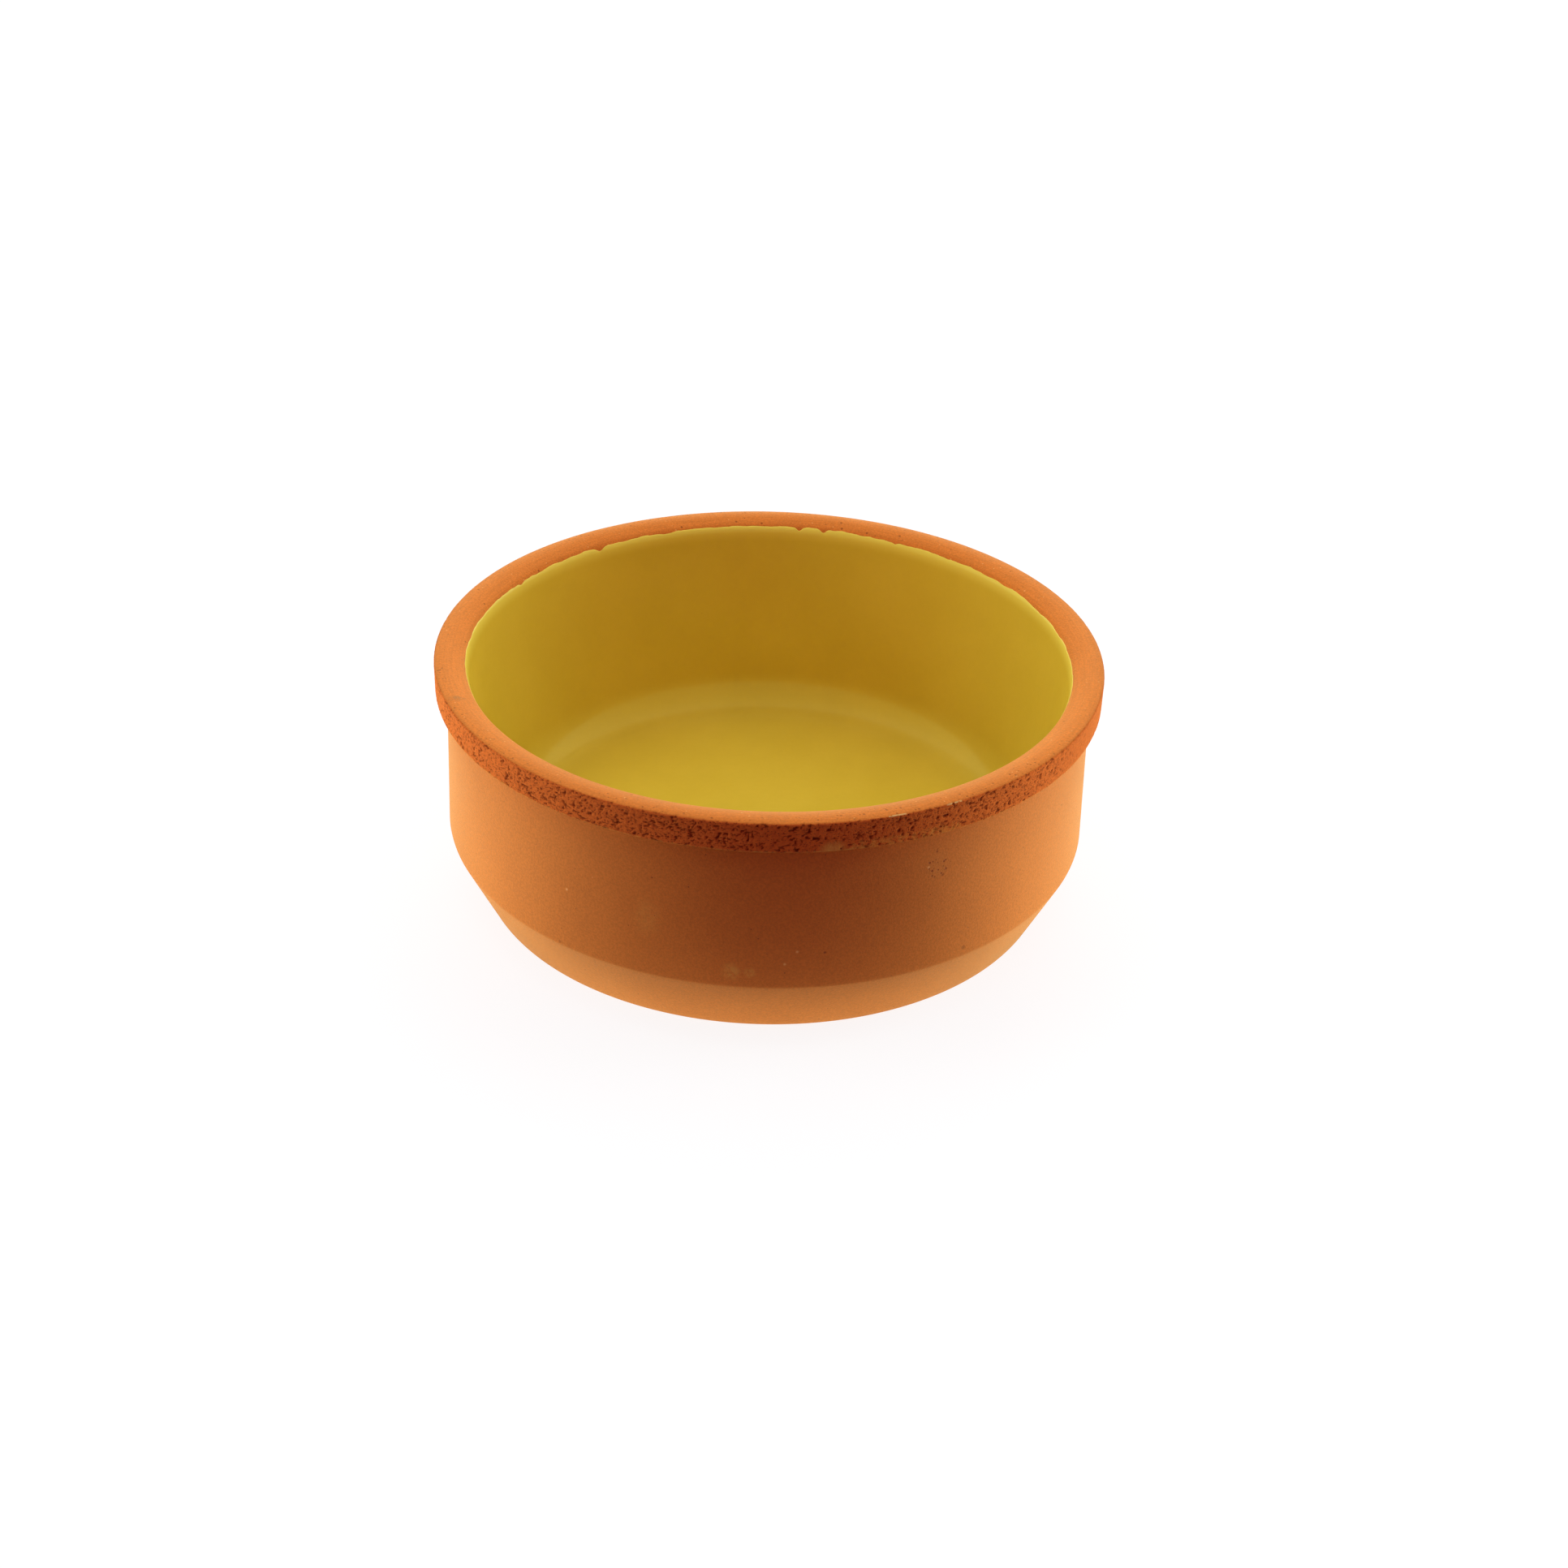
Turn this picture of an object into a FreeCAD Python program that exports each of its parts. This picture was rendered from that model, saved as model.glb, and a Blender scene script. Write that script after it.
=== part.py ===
"""A round terracotta cazuela, a deep oven and serving dish turned as one piece of clay.

Units are millimetres. The origin is the middle of the base, on the table, and +Z points up
through the mouth. One closed section is drawn in the XZ plane and turned once about Z.
Every radius and height below is worked out from the driving dimensions.
"""
import FreeCAD, Part
import math
import os

from FreeCAD import Vector

# Driving dimensions of the outside
RIM_RADIUS = 70.0  # outside of the rim band, the widest place
DISH_HEIGHT = 52.4  # table to the crest of the rim
BAND_HEIGHT = 6.5  # the rough band round the rim, crest to underside
BAND_OVERHANG = 2.5  # how far the band stands out from the wall under it
WALL_FLARE = 1.0  # how much wider the wall is at the shoulder than under the band
SHOULDER_HEIGHT = 14.1  # table to the crease where the wall turns in
FOOT_INSET = 6.8  # how far the base edge lies inside the shoulder

# Driving dimensions of the inside
RIM_WIDTH = 6.3  # across the top of the rim, band face to inner wall
INNER_DRAFT = 6.6  # how much the inner wall closes in from the rim down to the floor
FLOOR_THICKNESS = 7.8  # table to the inside floor
FLOOR_CORNER_RADIUS = 8.5  # sweep from the floor into the inner wall

# Top of the rim
CREST_INSET = 1.7  # band face to the crest, the highest ring of the rim
CROWN_RADIUS = 9.0  # gentle curve across the rim, over the crest
LIP_RADIUS = 2.2  # inner edge of the rim, worn round by the sponge

# Edge roundings
BAND_TOP_RADIUS = 0.35  # outer edge of the rim
BAND_BOTTOM_RADIUS = 0.3  # lower edge of the band
BAND_ROOT_RADIUS = 0.5  # hollow where the band's underside meets the wall
SHOULDER_RADIUS = 1.6  # crease between the wall and the lower body
FOOT_RADIUS = 0.8  # edge of the base


def point(radius, height):
    """A place on the section, in the plane Y = 0."""
    return Vector(radius, 0.0, height)


def outside_corners():
    """Corners of the outside with their rounding radii, from the middle of the base up the band's face."""
    wall_top_radius = RIM_RADIUS - BAND_OVERHANG
    shoulder_radius = wall_top_radius + WALL_FLARE
    base_radius = shoulder_radius - FOOT_INSET
    band_underside = DISH_HEIGHT - BAND_HEIGHT
    return [
        (point(0.0, 0.0), 0.0),
        (point(base_radius, 0.0), FOOT_RADIUS),
        (point(shoulder_radius, SHOULDER_HEIGHT), SHOULDER_RADIUS),
        (point(wall_top_radius, band_underside), BAND_ROOT_RADIUS),
        (point(RIM_RADIUS, band_underside), BAND_BOTTOM_RADIUS),
        (point(RIM_RADIUS, DISH_HEIGHT), 0.0),
    ]


def inside_corners():
    """Corners of the inside with their rounding radii, from the middle of the floor up the inner wall."""
    mouth_radius = RIM_RADIUS - RIM_WIDTH
    return [
        (point(0.0, FLOOR_THICKNESS), 0.0),
        (point(mouth_radius - INNER_DRAFT, FLOOR_THICKNESS), FLOOR_CORNER_RADIUS),
        (point(mouth_radius, DISH_HEIGHT), 0.0),
    ]


def arc_points(centre, start, end, radius):
    """The three points of the short arc from start to end."""
    halfway = (start + end) * 0.5
    return start, centre + (halfway - centre).normalize() * radius, end


def rounded_corner(before, corner, after, radius):
    """The three points of the arc that rounds a corner."""
    towards_before = (before - corner).normalize()
    towards_after = (after - corner).normalize()
    half_angle = towards_before.getAngle(towards_after) / 2
    setback = radius / math.tan(half_angle)
    centre = corner + (towards_before + towards_after).normalize() * (radius / math.sin(half_angle))
    return arc_points(centre, corner + towards_before * setback, corner + towards_after * setback, radius)


def rounded_onto_crown(foot, top, radius):
    """The three points of the arc that rounds a straight face, from foot to top, into the rim's crown."""
    upwards = (top - foot).normalize()
    crown_centre = point(RIM_RADIUS - CREST_INSET, DISH_HEIGHT - CROWN_RADIUS)
    beside = foot + upwards * (crown_centre - foot).dot(upwards)
    into_clay = (crown_centre - beside).normalize()
    reach = CROWN_RADIUS - radius
    depth = (crown_centre - beside).Length - radius
    centre = crown_centre - into_clay * depth + upwards * math.sqrt(reach**2 - depth**2)
    on_crown = centre + (centre - crown_centre).normalize() * radius
    return arc_points(centre, centre - into_clay * radius, on_crown, radius)


def side_edges(corners, crown_radius):
    """The lines and arcs along one side of the section, and the point where they meet the crown."""
    edges = []
    pen = corners[0][0]
    for index in range(1, len(corners) - 1):
        corner, radius = corners[index]
        arc = rounded_corner(corners[index - 1][0], corner, corners[index + 1][0], radius)
        edges.append(Part.LineSegment(pen, arc[0]).toShape())
        edges.append(Part.Arc(*arc).toShape())
        pen = arc[2]
    arc = rounded_onto_crown(corners[-2][0], corners[-1][0], crown_radius)
    edges.append(Part.LineSegment(pen, arc[0]).toShape())
    edges.append(Part.Arc(*arc).toShape())
    return edges, arc[2]


def section_face():
    """The closed section of the clay, half of the dish cut through its middle."""
    outside, crown_start = side_edges(outside_corners(), BAND_TOP_RADIUS)
    inside, crown_end = side_edges(inside_corners(), LIP_RADIUS)
    crest = point(RIM_RADIUS - CREST_INSET, DISH_HEIGHT)
    crown = Part.Arc(crown_start, crest, crown_end).toShape()
    axis = Part.LineSegment(inside_corners()[0][0], outside_corners()[0][0]).toShape()
    ring = Part.sortEdges([axis, crown] + outside + inside)[0]
    return Part.Face(Part.Wire(ring))


def cazuela():
    """The whole dish, one solid of revolution."""
    return section_face().revolve(Vector(0, 0, 0), Vector(0, 0, 1), 360)


def main():
    os.makedirs("parts", exist_ok=True)
    dish = cazuela()
    dish.exportStep("parts/cazuela.step")
    size = dish.optimalBoundingBox()
    print("valid", dish.isValid(), "solids", len(dish.Solids), "volume cm3", round(dish.Volume / 1000, 1))
    print("size mm", round(size.XLength, 2), round(size.YLength, 2), round(size.ZLength, 2))


main()
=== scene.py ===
import math

import bpy
from mathutils import Matrix, Vector, noise


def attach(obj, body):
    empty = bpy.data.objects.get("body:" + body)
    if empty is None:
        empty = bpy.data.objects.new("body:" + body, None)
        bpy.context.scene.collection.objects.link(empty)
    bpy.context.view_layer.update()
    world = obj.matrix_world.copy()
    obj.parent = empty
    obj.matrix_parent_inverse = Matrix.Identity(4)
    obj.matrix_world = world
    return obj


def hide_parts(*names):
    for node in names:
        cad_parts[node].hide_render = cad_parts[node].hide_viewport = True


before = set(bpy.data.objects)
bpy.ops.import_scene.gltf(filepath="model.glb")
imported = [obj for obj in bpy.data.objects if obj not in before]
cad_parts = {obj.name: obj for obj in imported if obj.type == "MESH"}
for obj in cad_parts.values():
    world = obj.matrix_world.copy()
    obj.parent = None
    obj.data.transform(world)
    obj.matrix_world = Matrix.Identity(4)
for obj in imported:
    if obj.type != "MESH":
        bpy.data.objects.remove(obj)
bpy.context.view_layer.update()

# Sizes of the dish in millimetres, as in the part's source.
RIM_RADIUS = 70.0
DISH_HEIGHT = 52.4
BAND_UNDERSIDE = DISH_HEIGHT - 6.5
WALL_TOP_RADIUS = RIM_RADIUS - 2.5
SHOULDER_RADIUS = WALL_TOP_RADIUS + 1.0
SHOULDER_HEIGHT = 14.1
BASE_RADIUS = SHOULDER_RADIUS - 6.8
MOUTH_RADIUS = RIM_RADIUS - 6.3
FLOOR_WALL_RADIUS = MOUTH_RADIUS - 6.6
FLOOR_HEIGHT = 7.8
CREST_RADIUS = RIM_RADIUS - 1.7
CROWN_RADIUS = 9.0
CROWN_CENTRE = Vector((CREST_RADIUS, DISH_HEIGHT - CROWN_RADIUS))

# Radii of the edge roundings, from the foot up the outside and down the inside.
FOOT_ROUND = 0.8
SHOULDER_ROUND = 1.6
BAND_ROOT_ROUND = 0.5
BAND_FOOT_ROUND = 0.3
BAND_TOP_ROUND = 0.35
LIP_ROUND = 2.2
FLOOR_ROUND = 8.5

# Segments round the dish. Each count is twice the one before, so that rows of different counts can meet.
COARSE, PLAIN, FINE, FINEST = 240, 480, 960, 1920
# Outside this radius the top of the rim has the finest rows, to meet the band's.
FINEST_RIM = 68.9

# The torn clay has a material of its own above this height and outside this radius.
TORN_HEIGHT = BAND_UNDERSIDE - 0.2
TORN_RADIUS = 69.65


def smooth(low, high, value):
    """0 below low, 1 above high and a smooth rise between them."""
    t = min(max((value - low) / (high - low), 0.0), 1.0)
    return t * t * (3 - 2 * t)


def wave(x, y, z, scale, seed=0.0):
    """Smooth noise from about -1 to 1 whose bumps are about `scale` millimetres across."""
    return noise.noise(Vector((x, y, z)) / scale + Vector((seed, -seed, 2 * seed)))


def corner_arc(before, corner, after, radius):
    """The arc that rounds a corner of a section: its centre, start angle, turn and radius."""
    back = (before - corner).normalized()
    ahead = (after - corner).normalized()
    half = back.angle(ahead) / 2
    centre = corner + (back + ahead).normalized() * (radius / math.sin(half))
    start = corner + back * (radius / math.tan(half)) - centre
    end = corner + ahead * (radius / math.tan(half)) - centre
    return arc_between(centre, start, end, radius)


def arc_between(centre, start, end, radius):
    """The short arc from one direction to another."""
    first = math.atan2(start.y, start.x)
    turn = (math.atan2(end.y, end.x) - first + math.pi) % (2 * math.pi) - math.pi
    return centre, first, turn, radius


def arc_into_crown(foot, top, radius):
    """The arc that rounds a straight face, from foot to top, into the rim's crown."""
    up = (top - foot).normalized()
    beside = foot + up * (CROWN_CENTRE - foot).dot(up)
    into_clay = (CROWN_CENTRE - beside).normalized()
    depth = (CROWN_CENTRE - beside).length - radius
    centre = CROWN_CENTRE - into_clay * depth + up * math.sqrt((CROWN_RADIUS - radius) ** 2 - depth**2)
    return arc_between(centre, -into_clay, centre - CROWN_CENTRE, radius)


def on_arc(arc, share):
    """The spot and the direction away from the centre at a share of an arc."""
    centre, first, turn, radius = arc
    a = first + turn * share
    away = Vector((math.cos(a), math.sin(a)))
    return centre + away * radius, away


def reversed_arc(arc):
    centre, first, turn, radius = arc
    return centre, first + turn, -turn, radius


MIDDLE = Vector((0.0, 0.0))
FOOT = Vector((BASE_RADIUS, 0.0))
SHOULDER = Vector((SHOULDER_RADIUS, SHOULDER_HEIGHT))
BAND_ROOT = Vector((WALL_TOP_RADIUS, BAND_UNDERSIDE))
BAND_FOOT = Vector((RIM_RADIUS, BAND_UNDERSIDE))
BAND_TOP = Vector((RIM_RADIUS, DISH_HEIGHT))
MOUTH = Vector((MOUTH_RADIUS, DISH_HEIGHT))
FLOOR_CORNER = Vector((FLOOR_WALL_RADIUS, FLOOR_HEIGHT))
FLOOR_MIDDLE = Vector((0.0, FLOOR_HEIGHT))

EDGE = arc_into_crown(BAND_FOOT, BAND_TOP, BAND_TOP_ROUND)
LIP = reversed_arc(arc_into_crown(FLOOR_CORNER, MOUTH, LIP_ROUND))
CROWN = arc_between(CROWN_CENTRE, on_arc(EDGE, 1.0)[1], on_arc(LIP, 0.0)[1], CROWN_RADIUS)
BEND = corner_arc(MOUTH, FLOOR_CORNER, FLOOR_MIDDLE, FLOOR_ROUND)

# The clay's section from the middle of the base outwards and over the rim to the middle of the floor:
# the arc at the end of each run, the steps of the run's straight part and of its arc, the segments
# round the dish, and the run's name.
CLAY = [
    (corner_arc(MIDDLE, FOOT, SHOULDER, FOOT_ROUND), 5, 4, PLAIN, "base"),
    (corner_arc(FOOT, SHOULDER, BAND_ROOT, SHOULDER_ROUND), 9, 5, PLAIN, "foot"),
    (corner_arc(SHOULDER, BAND_ROOT, BAND_FOOT, BAND_ROOT_ROUND), 24, 3, PLAIN, "wall"),
    (corner_arc(BAND_ROOT, BAND_FOOT, BAND_TOP, BAND_FOOT_ROUND), 3, 2, FINEST, "under"),
    (EDGE, 20, 2, FINEST, "band"),
    (CROWN, 0, 12, FINE, "rim"),
    (LIP, 0, 6, FINE, "rim"),
    (BEND, 4, 4, COARSE, "inside"),
    (None, 3, 0, COARSE, "inside"),
]


def clay_rows():
    """Rows (radius, height, segments, run) along the clay's section."""
    rows = [(0.0, 0.0, COARSE, "base")]
    pen = MIDDLE
    for arc, line_steps, arc_steps, segments, run in CLAY:
        start = on_arc(arc, 0.0)[0] if arc else FLOOR_MIDDLE
        spots = [pen.lerp(start, k / line_steps) for k in range(1, line_steps + 1)]
        if arc:
            spots += [on_arc(arc, k / arc_steps)[0] for k in range(1, arc_steps + 1)]
        for spot in spots:
            finest = run == "rim" and spot.x > FINEST_RIM
            rows.append((spot.x, spot.y, FINEST if finest else segments, run))
        pen = spots[-1]
    return rows


def gentle_counts(counts):
    """Segment counts that change by no more than a factor of two from row to row."""
    counts = list(counts)
    for i in range(1, len(counts)):
        counts[i] = max(counts[i], counts[i - 1] // 2)
    for i in range(len(counts) - 2, -1, -1):
        counts[i] = max(counts[i], counts[i + 1] // 2)
    return counts


def ring_faces(first, n, second, m):
    """Faces between two rings of vertices, of which one may have twice the segments of the other."""
    if n == m:
        return [(first + k, first + (k + 1) % n, second + (k + 1) % n, second + k) for k in range(n)]
    if n > m:
        return [tuple(reversed(f)) for f in ring_faces(second, m, first, n)]
    faces = []
    for k in range(n):
        a, b = first + k, first + (k + 1) % n
        c, d, e = second + 2 * k, second + 2 * k + 1, second + (2 * k + 2) % m
        faces += [(a, b, d), (a, d, c), (b, e, d)]
    return faces


def turned_piece(name, counts, place):
    """A mesh turned round Z: row i has counts[i] vertices, and place(i, angle) gives each one's
    spot in millimetres and its numbers for the material. A count of 1 is a single vertex on the axis."""
    points, values, starts, faces = [], [], [], []
    for i, n in enumerate(counts):
        starts.append(len(points))
        for k in range(n):
            spot, numbers = place(i, 2 * math.pi * k / n)
            points.append([v * 0.001 for v in spot])
            values.append(numbers)
    for i in range(len(counts) - 1):
        n, m = counts[i], counts[i + 1]
        a, b = starts[i], starts[i + 1]
        if n == 1:
            faces += [(a, b + (k + 1) % m, b + k) for k in range(m)]
        elif m == 1:
            faces += [(b, a + k, a + (k + 1) % n) for k in range(n)]
        else:
            faces += ring_faces(a, n, b, m)
    mesh = bpy.data.meshes.new(name)
    mesh.from_pydata(points, [], faces)
    for key in values[0]:
        layer = mesh.attributes.new(key, "FLOAT", "POINT")
        layer.data.foreach_set("value", [v[key] for v in values])
    mesh.shade_smooth()
    mesh.update()
    piece = bpy.data.objects.new(name, mesh)
    bpy.context.scene.collection.objects.link(piece)
    return piece


def outward(rows, i):
    """The outward normal of a section at row i, from its neighbours."""
    a = rows[max(i - 1, 0)]
    b = rows[min(i + 1, len(rows) - 1)]
    along = Vector((b[0] - a[0], b[1] - a[1])).normalized()
    return Vector((along.y, -along.x))


# Between these two X, in millimetres, the band grows less torn towards its right end.
LESS_TORN = (50.0, 66.0)


def torn(x, y, z):
    """Depth from 0 to 1 of the small torn holes in the band, longer sideways than high."""
    stretch = 1.4
    coarse = wave(x / stretch, y / stretch, z, scale=0.62, seed=3.3)
    fine = wave(x / stretch, y / stretch, z, scale=0.36, seed=7.9)
    crowd = wave(x, y, z, scale=4.5, seed=5.1)
    depth = smooth(0.24, 0.48, 0.75 * coarse + 0.6 * fine + 0.10 * crowd)
    return depth * (1.0 - 0.75 * smooth(*LESS_TORN, x))


def wear(radius, height):
    """How far handling has worn the rim's top below its turned curve, or smearing has left it above."""
    raised, middle, fall = 0.05, 66.9, 0.016
    on_top = smooth(51.6, 52.1, height) * smooth(64.9, 66.0, radius)
    return on_top * (raised - fall * (radius - middle) ** 2)


def clay_body():
    """The fired clay with its rough rim band."""
    rows = clay_rows()
    normals = [outward(rows, i) for i in range(len(rows))]
    counts = gentle_counts(r[2] for r in rows)
    counts[0] = counts[-1] = 1

    def place(i, angle):
        radius, height, _, run = rows[i]
        c, s = math.cos(angle), math.sin(angle)
        x, y, z = radius * c, radius * s, height
        on_band, hole, push, on_rim = 0.0, 0.0, 0.0, 0.0
        if run in ("under", "band", "rim") and radius > 69.0:
            on_band = smooth(69.7, 69.97, radius + 0.08 * wave(x, y, z, scale=1.8, seed=2.2))
            if run == "under":
                on_band *= smooth(69.0, 69.9, radius)
        if on_band > 0.01:
            hole = on_band * torn(x, y, z)
            grain = 0.6 * wave(x, y, z, scale=0.55, seed=1.3) + 0.4 * wave(x, y, z, scale=1.4, seed=6.6)
            face = smooth(69.6, 69.95, radius)
            push = face * (0.04 * grain - 0.04) - (0.06 + 0.12 * face) * hole
        if run == "rim":
            on_rim = 1.0 - on_band
            push += 0.03 * wave(x, y, z, scale=9.0, seed=2.4) * on_rim
        if run in ("wall", "foot"):
            slow = wave(x, y, z, scale=16.0, seed=5.5)
            turning = wave(c * 9, s * 9, z, scale=1.3, seed=7.7)
            push += 0.03 * slow + 0.012 * turning
        n = normals[i]
        height += n.y * push + wear(radius, height)
        radius += n.x * push
        # The torn holes' depth is also passed on, to darken them with painted shade.
        return (radius * c, radius * s, max(height, 0.0)), {"band": on_band, "torn_hole_shade": hole, "rim": on_rim}

    return turned_piece("clay_body", counts, place)


# Lengths along the inside of the section, from the start of the lip to the middle of the floor.
LIP_LENGTH = abs(LIP[2]) * LIP[3]
WALL_LENGTH = (on_arc(BEND, 0.0)[0] - on_arc(LIP, 1.0)[0]).length
BEND_LENGTH = abs(BEND[2]) * BEND[3]
FLOOR_LENGTH = on_arc(BEND, 1.0)[0].x
INSIDE_LENGTH = LIP_LENGTH + BEND_LENGTH + WALL_LENGTH + FLOOR_LENGTH


def inside(s):
    """The spot and the normal towards the hollow at s millimetres down from the start of the lip."""
    if s < LIP_LENGTH:
        return on_arc(LIP, s / LIP_LENGTH)
    s -= LIP_LENGTH
    if s < WALL_LENGTH:
        wall_start, away = on_arc(LIP, 1.0)
        return wall_start.lerp(on_arc(BEND, 0.0)[0], s / WALL_LENGTH), away
    s -= WALL_LENGTH
    if s < BEND_LENGTH:
        spot, away = on_arc(BEND, s / BEND_LENGTH)
        return spot, -away
    s -= BEND_LENGTH
    return Vector((max(FLOOR_LENGTH - s, 0.0), FLOOR_HEIGHT)), Vector((0.0, 1.0))


# Where the glaze's edge runs, in millimetres from the dish's axis.
GLAZE_EDGE_RADIUS = 64

# Places where the glaze stops lower: direction in degrees from +X, half width and depth in millimetres.
GLAZE_NOTCHES = [
    (85.1, 0.7, 0.75),
    (79.9, 0.9, 0.85),
    (129.5, 1.1, 0.8),
    (64.0, 0.6, 0.3),
    (152.0, 0.8, 0.35),
]


def glaze_edge(angle):
    """How far down from the start of the lip the glaze begins, in millimetres along the clay."""
    x, y = GLAZE_EDGE_RADIUS * math.cos(angle), GLAZE_EDGE_RADIUS * math.sin(angle)
    low = (
        0.80
        + 0.6 * abs(math.cos(angle))
        + 1.25 * smooth(0.1, 0.7, -math.sin(angle))
        + 0.3 * wave(x, y, 0, scale=6.0, seed=1.9)
        + 0.2 * wave(x, y, 0, scale=2.2, seed=4.4)
        + 0.07 * wave(x, y, 0, scale=0.9, seed=7.1)
    )
    for where, half, depth in GLAZE_NOTCHES:
        off = math.remainder(angle - math.radians(where), 2 * math.pi) * GLAZE_EDGE_RADIUS / half
        low += depth * math.exp(-off * off)
    return max(low, 0.1)


# Steps of the glaze's rolled edge: distance from the edge and height over the clay, in millimetres.
EDGE_STEPS = [
    (0.0, -0.12),
    (0.05, 0.01),
    (0.15, 0.04),
    (0.35, 0.07),
    (0.65, 0.10),
    (1.0, 0.13),
    (1.5, 0.155),
    (2.1, 0.17),
    (2.8, 0.18),
]
GLAZE_THICKNESS = 0.18
# The last stretch to the middle of the floor, in millimetres, and its number of wide steps.
FLOOR_STRETCH = 10.6
FLOOR_STEPS = 6


def glaze_coat():
    """The glaze over the inside, with its wavy rolled edge."""
    steps = [(d, h, FINEST if d < 0.9 else FINE) for d, h in EDGE_STEPS]
    distance = EDGE_STEPS[-1][0]
    while distance < INSIDE_LENGTH - FLOOR_STRETCH:
        distance += 0.6 if distance < 8 else 0.85
        steps.append((distance, GLAZE_THICKNESS, FINE if distance < 5 else PLAIN))
    tail = INSIDE_LENGTH - distance
    for k in range(1, FLOOR_STEPS + 1):
        steps.append((distance + tail * k / FLOOR_STEPS, GLAZE_THICKNESS, COARSE))
    counts = gentle_counts(n for _, _, n in steps)
    counts[-1] = 1

    def place(i, angle):
        d, h, _ = steps[i]
        c, s = math.cos(angle), math.sin(angle)
        along = d + glaze_edge(angle) * (1.0 - smooth(2.0, 12.0, d))
        if counts[i] == 1:
            along = INSIDE_LENGTH
        spot, away = inside(along)
        x, y, z = spot.x * c, spot.x * s, spot.y
        settled = smooth(0.3, 4.0, d)
        slow = wave(x, y, z, scale=14.0, seed=3.3)
        short = wave(x, y, z, scale=2.5, seed=8.1)
        h += settled * (0.05 * slow + 0.012 * short)
        radius = spot.x + away.x * h
        height = spot.y + away.y * h
        # The lip's band: paler from thicker glaze and from painted light from above.
        return (radius * c, radius * s, height), {"thick_edge_and_painted_light": 1.0 - smooth(1.6, 4.6, along)}

    return turned_piece("glaze_coat", counts, place)


class Shader:
    """Short calls that add nodes to a material or world. An input may be a number, a colour,
    a node, whose first output is used, or an output."""

    def __init__(self, tree):
        self.tree = tree
        tree.nodes.clear()

    def node(self, kind, inputs=None, **settings):
        made = self.tree.nodes.new(kind)
        for key, value in settings.items():
            setattr(made, key, value)
        for key, value in (inputs or {}).items():
            if isinstance(value, bpy.types.Node):
                value = value.outputs[0]
            if isinstance(value, bpy.types.NodeSocket):
                self.tree.links.new(value, made.inputs[key])
            else:
                made.inputs[key].default_value = value
        return made

    def math(self, operation, a, b=0.0):
        return self.node("ShaderNodeMath", {0: a, 1: b}, operation=operation)

    def times(self, a, b):
        return self.math("MULTIPLY", a, b)

    def most(self, *values):
        """The largest of the values."""
        largest = values[0]
        for value in values[1:]:
            largest = self.math("MAXIMUM", largest, value)
        return largest

    def vector(self, operation, a, b):
        return self.node("ShaderNodeVectorMath", {0: a, 1: b}, operation=operation)

    def scaled(self, where, factors):
        return self.vector("MULTIPLY", where, factors)

    def length(self, vector):
        return self.node("ShaderNodeVectorMath", {0: vector}, operation="LENGTH").outputs["Value"]

    def along(self, vector, direction):
        """How far a vector reaches along a direction."""
        return self.vector("DOT_PRODUCT", vector, direction).outputs["Value"]

    def grey(self, value):
        return self.node("ShaderNodeCombineXYZ", {0: value, 1: value, 2: value})

    def ramp(self, value, low, high, to_low=0.0, to_high=1.0):
        """A smooth run from to_low, where the value is low or less, to to_high."""
        return self.node(
            "ShaderNodeMapRange",
            {"Value": value, "From Min": low, "From Max": high, "To Min": to_low, "To Max": to_high},
            interpolation_type="SMOOTHSTEP",
        )

    def mix(self, share, a, b, blend="MIX"):
        made = self.node("ShaderNodeMix", {0: share, 6: a, 7: b}, data_type="RGBA", blend_type=blend)
        return made.outputs[2]

    def tint(self, colour, factors):
        return self.mix(1.0, colour, factors, "MULTIPLY")

    def shade(self, colour, value, low, high):
        """The colour times a grey that runs from low to high as the value runs from 0.3 to 0.7."""
        return self.tint(colour, self.grey(self.ramp(value, 0.3, 0.7, low, high)))

    def noise(self, where, size, detail=2.0, roughness=0.5):
        """Noise from 0 to 1 with features about `size` millimetres across."""
        made = self.node(
            "ShaderNodeTexNoise",
            {"Vector": where, "Scale": 1.0 / size, "Detail": detail, "Roughness": roughness},
        )
        return made.outputs["Fac"]

    def dots(self, where, spacing, radius, share):
        """Scattered dots, 1 inside: at most one in each cell of that spacing, in a share of the cells."""
        cells = self.node("ShaderNodeTexVoronoi", {"Vector": where, "Scale": 1.0 / spacing})
        chance = self.node("ShaderNodeSeparateColor", {"Color": cells.outputs["Color"]})
        picked = self.math("LESS_THAN", chance.outputs[0], share)
        size = self.math("MULTIPLY_ADD", chance.outputs[1], radius / spacing)
        size.inputs[2].default_value = 0.4 * radius / spacing
        near = self.math("DIVIDE", cells.outputs["Distance"], size)
        return self.times(picked, self.ramp(near, 0.6, 1.0, 1.0, 0.0))

    def spot(self, where, centre, radius, stretch=(1.0, 1.0, 1.0)):
        """1 at a place, given in millimetres, and 0 outside the radius."""
        moved = self.vector("SUBTRACT", where, centre)
        return self.ramp(self.length(self.scaled(moved, stretch)), radius * 0.2, radius, 1.0, 0.0)

    def streak(self, where, start, end, width):
        """1 on the line from start to end and 0 beyond the width."""
        line = Vector(end) - Vector(start)
        moved = self.vector("SUBTRACT", where, start)
        share = self.along(moved, line / line.length_squared)
        share = self.math("MINIMUM", self.most(share, 0.0), 1.0)
        foot = self.node("ShaderNodeVectorMath", {0: line, "Scale": share}, operation="SCALE")
        off = self.vector("SUBTRACT", moved, foot)
        return self.ramp(self.length(off), width * 0.3, width, 1.0, 0.0)

    def spots(self, where, marks):
        return self.most(*(self.spot(where, *mark) for mark in marks))

    def streaks(self, where, marks):
        return self.most(*(self.streak(where, *mark) for mark in marks))


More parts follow.
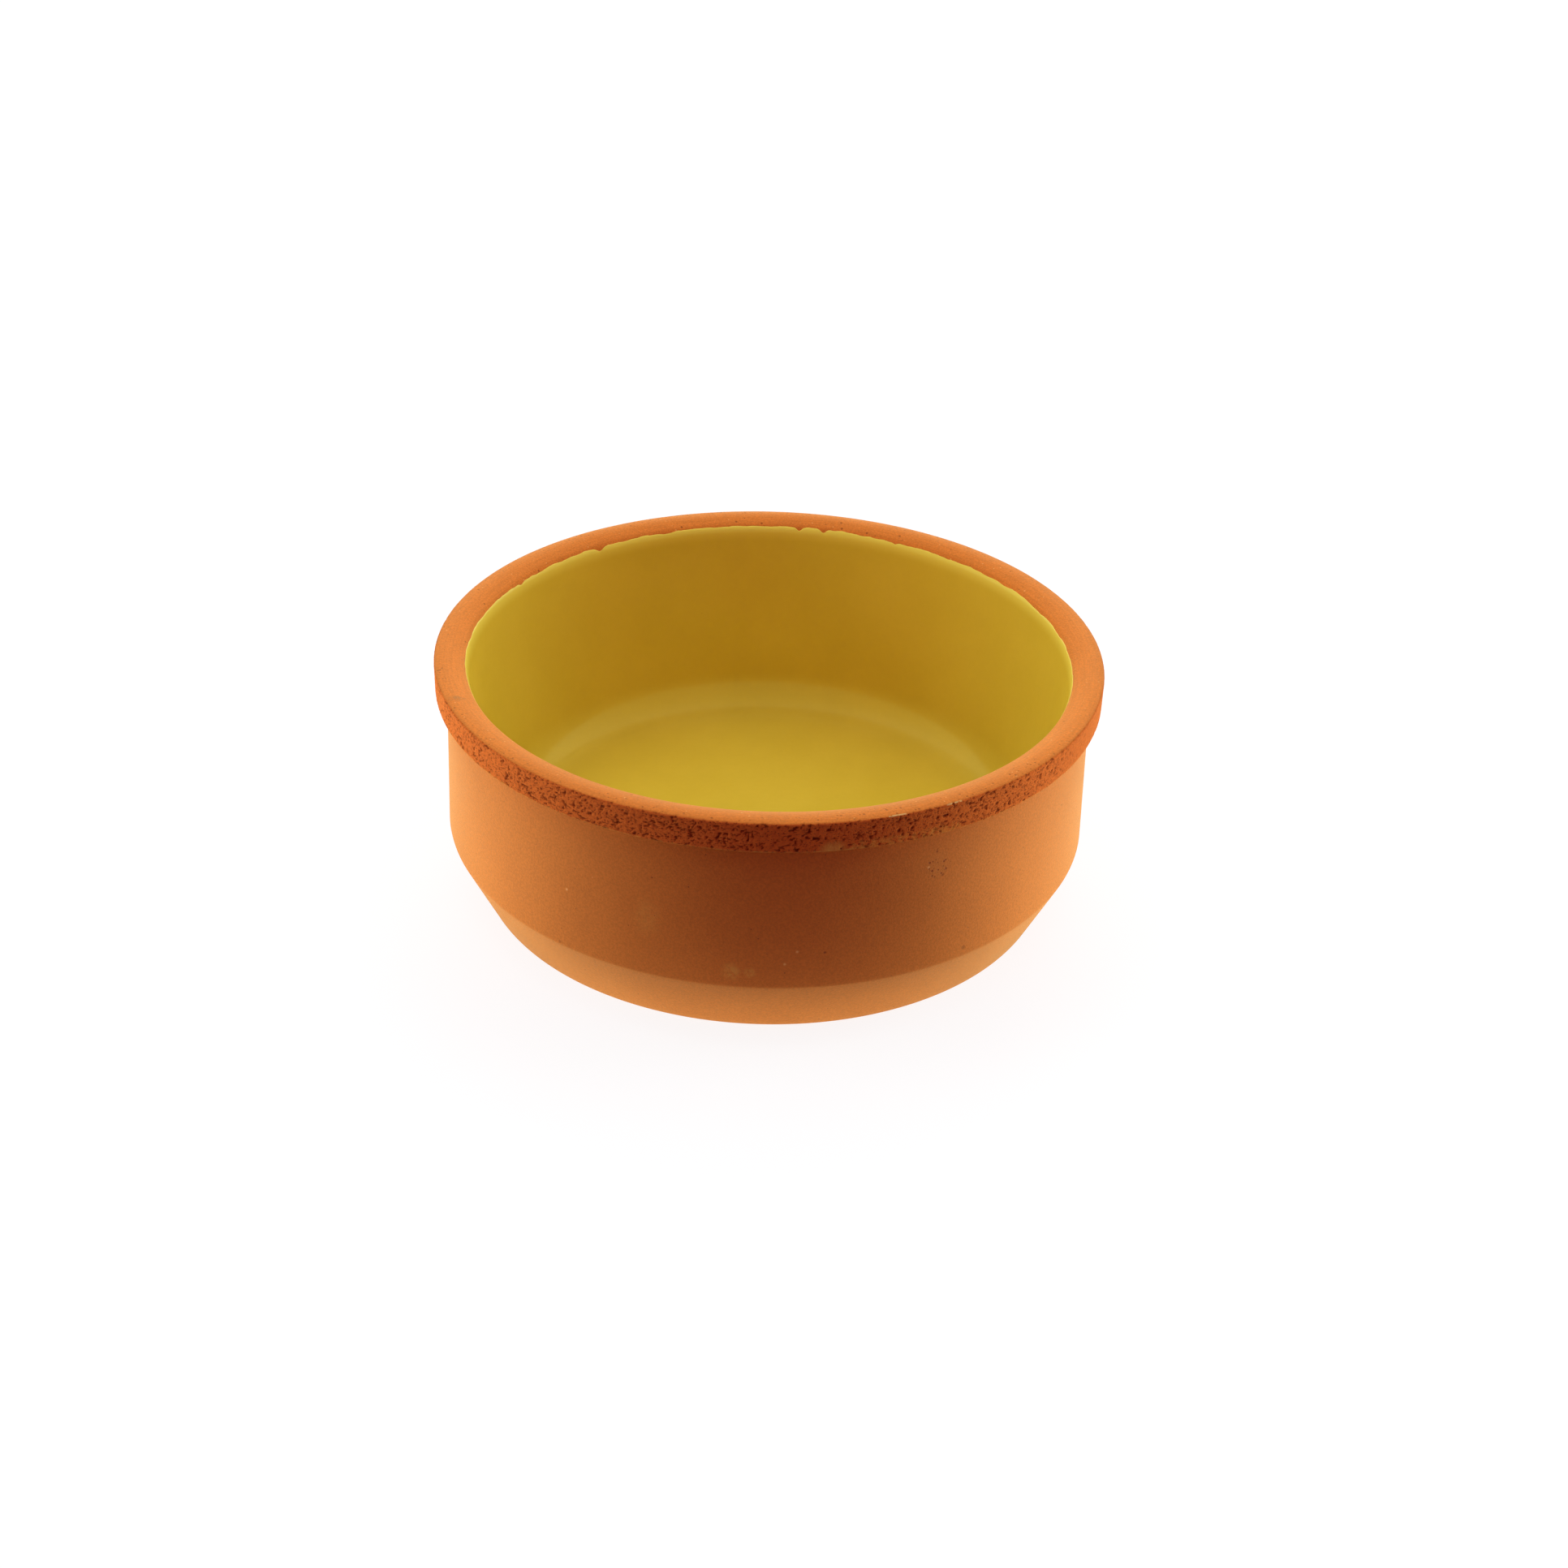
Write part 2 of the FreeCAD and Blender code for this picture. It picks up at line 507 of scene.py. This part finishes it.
def millimetres(g):
    """The object's own coordinates in millimetres."""
    own = g.node("ShaderNodeTexCoord")
    return g.node("ShaderNodeVectorMath", {0: own.outputs["Object"], "Scale": 1000.0}, operation="SCALE")


def attribute(g, name):
    return g.node("ShaderNodeAttribute", attribute_name=name).outputs["Fac"]


def new_material(name):
    material = bpy.data.materials.new(name)
    material.use_nodes = True
    return material, Shader(material.node_tree)


# Base colours: linear red, green and blue, and alpha.
WALL_CLAY = (0.61, 0.192, 0.032, 1)
PALE_WALL_CLAY = (0.65, 0.209, 0.035, 1)
RIM_CLAY = (0.682, 0.205, 0.029, 1)
BAND_CLAY = (0.62, 0.141, 0.025, 1)
PALE_BAND_CLAY = (0.74, 0.178, 0.029, 1)
SAND_GRAIN = (0.90, 0.50, 0.14, 1)
ROUGH_CLAY = (0.55, 0.22, 0.05, 1)
# Painted shade: the dark colours of holes, cracks and torn holes stand for the shade inside them.
PAINTED_HOLE_SHADE = (0.17, 0.035, 0.009, 1)
PAINTED_CRACK_SHADE = (0.15, 0.020, 0.005, 1)
PAINTED_TORN_HOLE_SHADE = (0.12, 0.014, 0.004, 1)
# Pale clay for the real yellow crust and for the painted highlight on the band's lower edge.
CRUST_AND_PAINTED_EDGE_HIGHLIGHT = (0.78, 0.34, 0.055, 1)
DRIED_SLIP = (0.76, 0.33, 0.060, 1)
STAIN = (0.78, 0.40, 0.075, 1)
SMUDGE = (0.22, 0.13, 0.05, 1)
SLIVER = (0.95, 0.80, 0.28, 1)
GLAZE = (0.665, 0.494, 0.041, 1)
PALE_GLAZE = (0.699, 0.521, 0.046, 1)
# Paler for the thicker glaze on the lip, and brighter with painted light from above.
PALE_GLAZE_EDGE_AND_PAINTED_LIGHT = (0.84, 0.70, 0.090, 1)
GLAZE_SPECK = (0.40, 0.20, 0.02, 1)

# Colours that others are multiplied by: painted shade on the front of the rim, painted reflection on the
# back of the glaze.
PAINTED_RIM_FRONT_SHADE = (0.88, 0.87, 0.89, 1)
PAINTED_GLAZE_BACK_REFLECTION = (1.03, 1.13, 1.30, 1)

# Marks of the clay at their places in the photo, in millimetres. A spot has a centre, a radius and
# sometimes a stretch, where more than 1 makes it narrower. A streak has a start, an end and a width.
ROUGH_PATCH = ((34.0, -59.0, 37.5), 3.4, (1.0, 1.0, 0.8))
POCKS = [((40.3, -55.3, 16.0), 0.75), ((-39.2, -56.2, 14.7), 0.5)]
LARGE_GRAINS = [
    ((-37.5, -56.8, 27.5), 0.42),
    ((7.5, -67.8, 22.4), 0.42),
    ((32.0, -59.8, 37.4), 0.42),
    ((5.2, -68.1, 19.6), 0.42),
]
YELLOW_CRUST = ((18.0, -67.7, 46.4), (36.5, -59.9, 46.6), 2.0)
SLIP_SMEAR = [
    ((13.3, -68.7, 46.5), 3.4, (1.0, 1.0, 1.5)),
    ((17.6, -67.8, 46.0), 1.8, (0.7, 0.7, 2.2)),
]
STAINS = [((-5.0, -68.2, 17.5), 2.6), ((-1.4, -68.4, 17.5), 1.6)]
FAINT_STAIN = ((-21.5, -64.6, 27.0), 4.0, (1.0, 1.0, 0.7))
RIM_SMUDGE = ((-62.0, -26.8, 52.0), 1.5, (0.6, 1.0, 1.0))
GLAZE_SLIVERS = [
    ((23.6, -65.8, 52.25), (27.0, -64.5, 52.25), 0.28),
    ((34.6, -60.9, 52.2), (37.2, -59.3, 52.2), 0.34),
]


def clay_tones(g, where, tone, grain, rim, band):
    """The clay's colour before its marks: wall, rim with fine turning lines and painted shade along its
    front, and redder band.
    """
    colour = g.mix(g.ramp(tone, 0.3, 0.7), WALL_CLAY, PALE_WALL_CLAY)
    colour = g.mix(rim, colour, RIM_CLAY)
    colour = g.shade(colour, grain, 0.89, 1.10)
    band_tone = g.noise(g.scaled(where, (1.0, 1.0, 1.5)), 0.7, 4.0, 0.7)
    colour = g.mix(band, colour, g.mix(g.ramp(band_tone, 0.36, 0.62), BAND_CLAY, PALE_BAND_CLAY))

    radius = g.length(g.scaled(where, (1.0, 1.0, 0.0)))
    drift = g.scaled(where, (0.04, 0.04, 0.0))
    lines = g.noise(g.vector("ADD", drift, g.node("ShaderNodeCombineXYZ", {2: radius})), 0.38, 2.0, 0.6)
    colour = g.mix(rim, colour, g.shade(colour, lines, 0.95, 1.05))
    # Painted shade: the front of the rim is darkened.
    front_shade = g.times(rim, g.ramp(g.along(where, (0, 1, 0)), -62.0, -32.0, 1.0, 0.0))
    return g.mix(front_shade, colour, g.tint(colour, PAINTED_RIM_FRONT_SHADE))


def clay_holes(g, where, tone, rim, rough, torn_side):
    """Pinholes, the rough patch, the pocks, and pits that crowd towards the rim's outer edge, all
    darkened with painted shade.
    """
    radius = g.length(g.scaled(where, (1.0, 1.0, 0.0)))
    wander = g.ramp(tone, 0.3, 0.7, -0.7, 0.7)
    outer = g.times(rim, g.ramp(g.math("ADD", radius, wander), 66.6, 69.2))
    outer_pits = g.times(g.dots(where, 0.85, 0.24, 0.55), outer)
    inner_pits = g.times(g.dots(where, 1.9, 0.26, 0.35), rim)
    rim_pits = g.times(g.most(outer_pits, inner_pits), torn_side)
    pinholes = g.dots(where, 1.7, 0.14, 0.35)
    large_holes = g.dots(where, 6.0, 0.26, 0.35)
    patch = g.times(g.dots(where, 0.6, 0.26, 0.75), g.math("MINIMUM", g.times(rough, 2.2), 1.0))
    pocks = g.spots(where, POCKS)
    return g.most(pinholes, large_holes, rim_pits, g.times(patch, 1.3), g.times(pocks, 0.6))


def clay_grains(g, where, rim):
    """Pale sand grains, with more of them on the rim and a few large ones."""
    rim_grains = g.times(g.dots(where, 1.3, 0.19, 0.5), rim)
    large_grains = g.times(g.spots(where, LARGE_GRAINS), 1.6)
    return g.most(g.dots(where, 2.3, 0.12, 0.25), rim_grains, large_grains)


def band_cracks(g, where, band, torn_side):
    """Fine cracks in the band painted dark as shade, fewer at its right end, which gets an even painted
    shade instead, and rounder dark pits at its far left.
    """
    cracks_with_painted_shade = g.ramp(g.noise(g.scaled(where, (0.7, 0.7, 1.1)), 0.36, 2.0, 0.6), 0.56, 0.63)
    # Painted shade: an even darkening of the band where the cracks thin out.
    even_painted_shade = g.ramp(torn_side, 0.25, 1.0, 0.20, 0.0)
    cracks_with_painted_shade = g.most(g.times(cracks_with_painted_shade, torn_side), even_painted_shade)
    far_left = g.ramp(g.along(where, (1, 0, 0)), -62.0, -46.0, 1.0, 0.0)
    cracks_with_painted_shade = g.times(cracks_with_painted_shade, g.ramp(far_left, 0.0, 1.0, 1.0, 0.6))
    round_pits = g.times(g.dots(where, 1.0, 0.34, 0.7), far_left)
    return g.times(g.most(cracks_with_painted_shade, round_pits), band)


def clay_marks(g, where, band, colour):
    """A painted highlight where the band's rounded lower edge catches the floor's light, a yellow crust
    on part of it, dried slip on it, faint stains on the wall, a smudge on the rim and slivers of glaze
    that ran onto the rim's outer edge."""
    z = g.along(where, (0, 0, 1))
    broken = g.ramp(g.noise(where, 1.2, 3.0, 0.65), 0.40, 0.58)
    # Painted highlight: a pale line where the band's rounded lower edge catches the floor's light.
    painted_edge_highlight = g.times(g.ramp(z, BAND_UNDERSIDE + 0.15, BAND_UNDERSIDE + 0.55, 0.55, 0.0), band)
    crust = g.times(g.streak(where, *YELLOW_CRUST), 0.5)
    colour = g.mix(g.times(g.most(painted_edge_highlight, crust), broken), colour, CRUST_AND_PAINTED_EDGE_HIGHLIGHT)

    smear = g.times(g.spots(where, SLIP_SMEAR), g.ramp(g.noise(where, 1.6, 3.0, 0.6), 0.30, 0.48))
    smear = g.times(smear, g.ramp(z, 45.6, 45.9))
    colour = g.mix(smear, colour, DRIED_SLIP)

    stains = g.most(g.spots(where, STAINS), g.times(g.spot(where, *FAINT_STAIN), 0.35))
    stains = g.times(stains, g.ramp(g.noise(where, 0.8, 3.0, 0.6), 0.3, 0.6))
    colour = g.mix(g.times(stains, 0.55), colour, STAIN)

    smudge = g.times(g.spot(where, *RIM_SMUDGE), g.ramp(g.noise(where, 0.6, 2.0), 0.3, 0.6))
    colour = g.mix(g.times(smudge, 0.5), colour, SMUDGE)

    slivers = g.times(g.streaks(where, GLAZE_SLIVERS), g.ramp(g.noise(where, 0.8, 2.0), 0.36, 0.46))
    return g.mix(slivers, colour, SLIVER)


def terracotta(name, sheen, gloss):
    """Bare fired clay: even and slightly sandy on the wall, redder and torn on the band."""
    material, g = new_material(name)
    where = millimetres(g)
    band = attribute(g, "band")
    rim = attribute(g, "rim")
    torn_hole_shade = attribute(g, "torn_hole_shade")
    tone = g.noise(where, 26.0, 3.0)
    grain = g.noise(where, 0.45, 3.0, 0.65)
    rough = g.spot(where, *ROUGH_PATCH)
    torn_side = g.ramp(g.along(where, (1, 0, 0)), *LESS_TORN, 1.0, 0.25)
    holes_with_painted_shade = clay_holes(g, where, tone, rim, rough, torn_side)
    cracks_with_painted_shade = band_cracks(g, where, band, torn_side)

    colour = clay_tones(g, where, tone, grain, rim, band)
    colour = g.mix(g.times(clay_grains(g, where, rim), 0.45), colour, SAND_GRAIN)
    colour = g.mix(g.times(rough, 0.2), colour, ROUGH_CLAY)
    # Painted shade darkens the holes, the cracks and the torn holes in the band.
    colour = g.mix(g.times(holes_with_painted_shade, 0.6), colour, PAINTED_HOLE_SHADE)
    colour = g.mix(g.times(cracks_with_painted_shade, 0.66), colour, PAINTED_CRACK_SHADE)
    colour = g.mix(g.times(torn_hole_shade, 0.85), colour, PAINTED_TORN_HOLE_SHADE)
    colour = clay_marks(g, where, band, colour)

    fine = g.ramp(g.noise(where, 0.35, 3.0, 0.7), 0.0, 1.0, -0.5, 0.5)
    height = g.times(fine, g.ramp(band, 0.0, 1.0, 0.06, 0.09))
    height = g.math("SUBTRACT", height, g.times(holes_with_painted_shade, 0.03))
    height = g.math("SUBTRACT", height, g.times(cracks_with_painted_shade, 0.05))
    bump = g.node("ShaderNodeBump", {"Height": height, "Distance": 0.001, "Strength": 1.0})
    surface = g.node(
        "ShaderNodeBsdfPrincipled",
        {
            "Base Color": colour,
            "Roughness": g.ramp(grain, 0.2, 0.8, 0.72, 0.86),
            "Specular IOR Level": gloss,
            "Specular Tint": (1.0, 0.6, 0.35, 1.0),
            "Sheen Weight": sheen,
            "Sheen Roughness": 0.4,
            "Sheen Tint": (1.0, 0.95, 0.36, 1.0),
            "Normal": bump,
        },
    )
    g.node("ShaderNodeOutputMaterial", {"Surface": surface})
    return material


def mustard_glaze():
    """A satin mustard glaze, paler and thicker along its rolled edge, where painted light from above
    brightens it too, with a painted reflection on its back.
    """
    material, g = new_material("mustard_glaze")
    where = millimetres(g)
    thick_edge_and_painted_light = attribute(g, "thick_edge_and_painted_light")
    tone = g.noise(where, 18.0, 3.0)
    colour = g.mix(g.ramp(tone, 0.3, 0.7), GLAZE, PALE_GLAZE)
    colour = g.shade(colour, g.noise(where, 1.1, 3.0, 0.6), 0.992, 1.008)
    # Painted reflection: the back of the glaze is made paler and greener.
    back = g.spot(where, (-5.0, 62.0, 37.0), 44.0)
    colour = g.mix(back, colour, g.tint(colour, PAINTED_GLAZE_BACK_REFLECTION))
    # The lip is paler: thicker glaze, with painted light from above.
    colour = g.mix(thick_edge_and_painted_light, colour, PALE_GLAZE_EDGE_AND_PAINTED_LIGHT)
    specks = g.dots(where, 9.0, 0.18, 0.3)
    colour = g.mix(g.times(specks, 0.5), colour, GLAZE_SPECK)
    height = g.ramp(g.noise(where, 1.4, 2.0, 0.5), 0.0, 1.0, -0.002, 0.002)
    bump = g.node("ShaderNodeBump", {"Height": height, "Distance": 0.001, "Strength": 1.0})
    surface = g.node(
        "ShaderNodeBsdfPrincipled",
        {
            "Base Color": colour,
            "Roughness": g.ramp(tone, 0.2, 0.8, 0.165, 0.185),
            "Specular IOR Level": 0.7,
            "Specular Tint": (1.0, 0.80, 0.12, 1.0),
            "Normal": bump,
        },
    )
    g.node("ShaderNodeOutputMaterial", {"Surface": surface})
    return material


def white_to_the_eye(g):
    """1 for rays that see the background straight, in a reflection or through glass."""
    path = g.node("ShaderNodeLightPath")
    return g.most(*(path.outputs[f"Is {kind} Ray"] for kind in ("Camera", "Glossy", "Transmission")))


WHITE = (1.0, 1.0, 1.0)

# Soft studio lights: azimuth from the front towards +X and elevation in degrees, how narrow each is,
# its strength and its colour.
LIGHTS = [
    (-85, 10, 30, 5.65, WHITE),
    (115, 10, 30, 5.1, WHITE),
    (-100, 35, 30, 0.93, WHITE),
    (100, 35, 30, 2.65, WHITE),
    (-100, 60, 30, 2.75, WHITE),
    (100, 60, 30, 1.34, WHITE),
    (180, 12, 12, 4.9, WHITE),
    (180, 50, 8, 1.4, WHITE),
    (0, 90, 5, 0.75, WHITE),
    (0, 25, 4, 0.47, (1.0, 0.03, 0.40)),
]


def soft_light():
    """The light, as broad glows in the world, behind a background that is white to the eye."""
    world = bpy.data.worlds.new("studio")
    bpy.context.scene.world = world
    world.use_nodes = True
    g = Shader(world.node_tree)
    direction = g.node("ShaderNodeTexCoord").outputs["Generated"]
    total = (0.0, 0.0, 0.0, 1.0)
    for azimuth, elevation, power, strength, colour in LIGHTS:
        a, b = math.radians(azimuth), math.radians(elevation)
        axis = (math.sin(a) * math.cos(b), -math.cos(a) * math.cos(b), math.sin(b))
        facing = g.along(direction, axis)
        amount = g.math("POWER", g.most(facing, 0.0), power)
        glow = g.tint(g.grey(amount), tuple(strength * v for v in colour) + (1.0,))
        total = g.mix(1.0, total, glow, "ADD")
    light = g.node("ShaderNodeBackground", {"Color": total})
    white = g.node("ShaderNodeBackground", {"Color": WHITE + (1.0,), "Strength": 1.0})
    seen = g.node("ShaderNodeMixShader", {0: white_to_the_eye(g), 1: light, 2: white})
    g.node("ShaderNodeOutputWorld", {"Surface": seen})


def pale_floor():
    """The floor, in metres from the middle of the dish. It is near white to the eye, and throws light
    up from the table round the dish's foot and from farther out on its left and right."""
    bpy.ops.mesh.primitive_plane_add(size=12.0, location=(0, 0, -0.0002))
    floor = bpy.context.object
    floor.name = "floor"
    material, g = new_material("pale_floor")
    where = g.node("ShaderNodeTexCoord").outputs["Object"]
    part = g.node("ShaderNodeSeparateXYZ", {0: where})
    away = g.length(where)
    near = g.ramp(away, 0.083, 0.087, 1.25, 0.0)
    beside = g.math("ADD", g.ramp(away, 0.135, 0.145, 1.05, 0.0), g.ramp(away, 0.28, 0.32, 2.25, 0.0))
    beside = g.times(g.ramp(away, 0.083, 0.087), beside)
    sideways = g.math("ABSOLUTE", part.outputs["X"])
    sideways = g.math("SUBTRACT", sideways, g.math("ABSOLUTE", part.outputs["Y"]))
    beside = g.times(beside, g.ramp(sideways, -0.01, 0.01))
    thrown = g.math("ADD", near, beside)
    bounce = g.node("ShaderNodeEmission", {"Color": WHITE + (1.0,), "Strength": thrown})
    paper = g.node("ShaderNodeBsdfDiffuse", {"Color": (0.16, 0.16, 0.16, 1)})
    lift = g.node("ShaderNodeEmission", {"Color": WHITE + (1.0,), "Strength": 0.87})
    seen = g.node("ShaderNodeAddShader", {0: paper, 1: lift})
    surface = g.node("ShaderNodeMixShader", {0: white_to_the_eye(g), 1: bounce, 2: seen})
    g.node("ShaderNodeOutputMaterial", {"Surface": surface})
    floor.data.materials.append(material)


def camera():
    """The photograph's view: 31 degrees above the table, with a slight roll."""
    elevation = math.radians(31.05)
    roll = math.radians(1.97)
    place = Vector((3.89, -409.40, 265.29)) * 0.001
    forward = Vector((0.0, math.cos(elevation), -math.sin(elevation)))
    level = Vector((1.0, 0.0, 0.0))
    up = level.cross(forward)
    right = level * math.cos(roll) + up * math.sin(roll)
    top = right.cross(forward)
    data = bpy.data.cameras.new("camera")
    data.lens = 50.31
    data.sensor_width = 36.0
    data.clip_start = 0.01
    thing = bpy.data.objects.new("camera", data)
    turn = Matrix((right, top, -forward)).transposed().to_4x4()
    thing.matrix_world = Matrix.Translation(place) @ turn
    bpy.context.scene.collection.objects.link(thing)
    bpy.context.scene.camera = thing


bpy.context.scene.view_settings.view_transform = "Standard"
camera()
soft_light()
pale_floor()

body = clay_body()
body.data.materials.append(terracotta("terracotta", sheen=0.33, gloss=0.08))
body.data.materials.append(terracotta("torn_terracotta", sheen=0.16, gloss=0.0))
for face in body.data.polygons:
    if face.center.z * 1000 > TORN_HEIGHT and face.center.xy.length * 1000 > TORN_RADIUS:
        face.material_index = 1
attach(body, "root")
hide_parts("cazuela")

coat = glaze_coat()
coat.data.materials.append(mustard_glaze())
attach(coat, "root")
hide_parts("cazuela")
